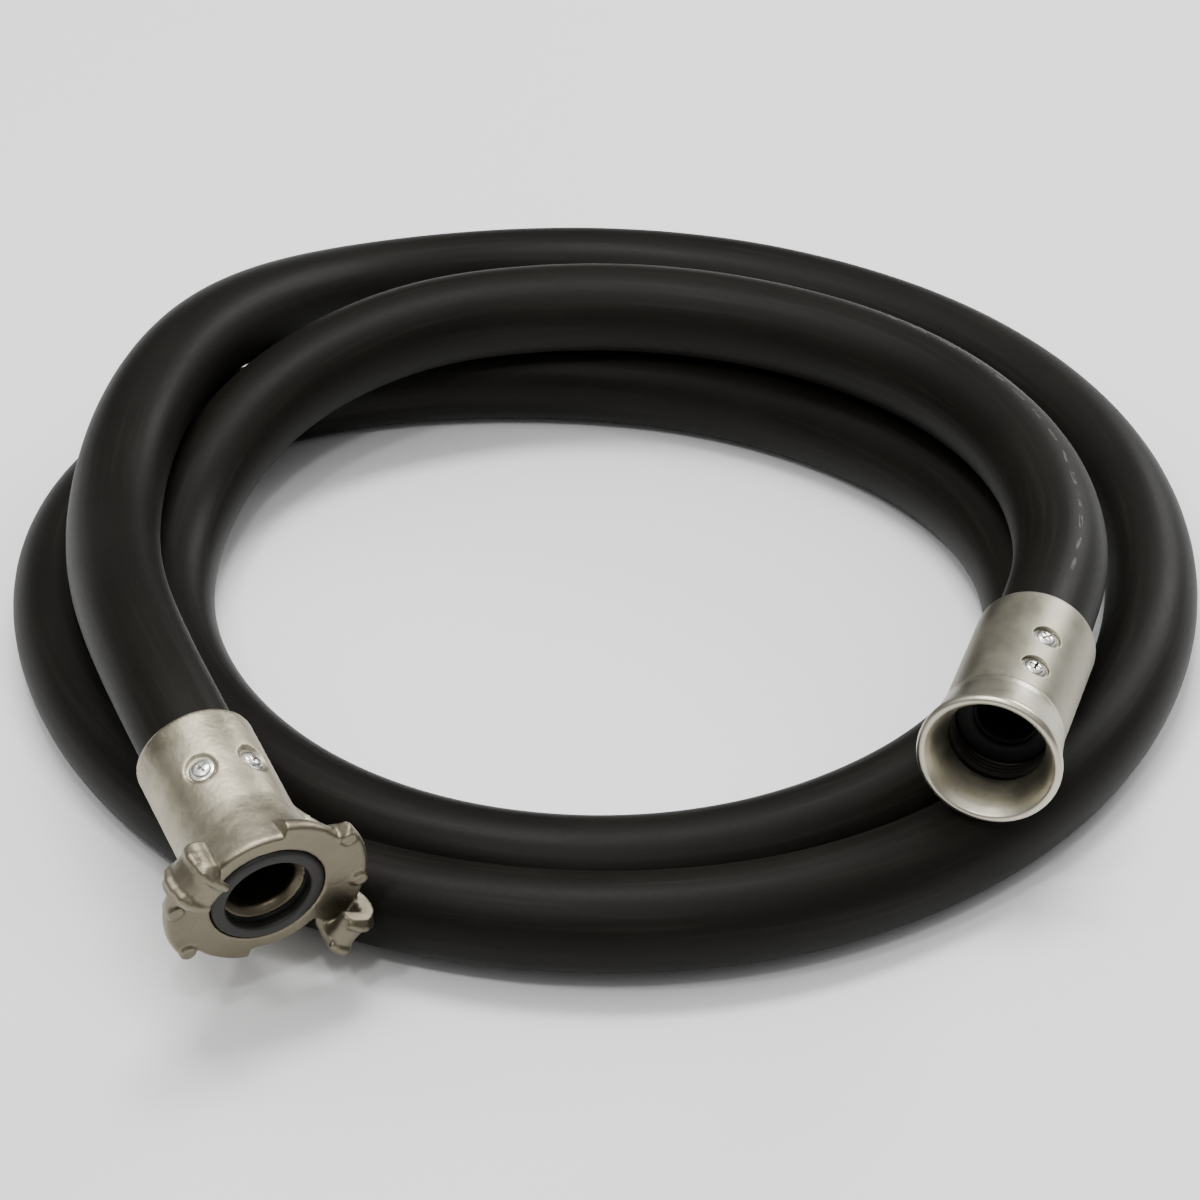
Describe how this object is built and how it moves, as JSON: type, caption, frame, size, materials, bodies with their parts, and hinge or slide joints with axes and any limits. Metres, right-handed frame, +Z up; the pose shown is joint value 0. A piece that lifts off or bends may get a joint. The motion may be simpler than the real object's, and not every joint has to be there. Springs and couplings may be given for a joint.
{
  "type": "coiled blast hose",
  "caption": "Coiled rubber abrasive-blasting hose with a two-lug claw quick coupling on one end and an internally threaded nozzle holder on the other.",
  "frame": {"origin": "middle of the coil's footprint on the floor", "axes": "+Z up from the floor; -Y is the side both fittings point to; +X is the side of the nozzle holder"},
  "size_m": [0.5107, 0.5621, 0.0996],
  "materials": {
    "cover_rubber": "semi-matt black with a soft sheen",
    "ply_cord": "woven textile cord",
    "tube_rubber": "matt",
    "cast_aluminium": "fine cast, satin",
    "turned_aluminium": "turned, satin",
    "gasket_rubber": "matt",
    "washer_rubber": "matt",
    "screw_steel": "zinc plated"
  },
  "bodies": {
    "root": {"hose_cover": "cover_rubber", "hose_outer_ply": "ply_cord", "hose_inner_ply": "ply_cord", "hose_tube": "tube_rubber", "coupling_body": "cast_aluminium", "coupling_gasket": "gasket_rubber", "coupling_screw_1": "screw_steel", "coupling_screw_2": "screw_steel", "coupling_screw_3": "screw_steel", "coupling_screw_4": "screw_steel", "nozzle_holder": "turned_aluminium", "nozzle_washer": "washer_rubber", "holder_screw_1": "screw_steel", "holder_screw_2": "screw_steel", "holder_screw_3": "screw_steel", "holder_screw_4": "screw_steel"}
  },
  "joints": []
}
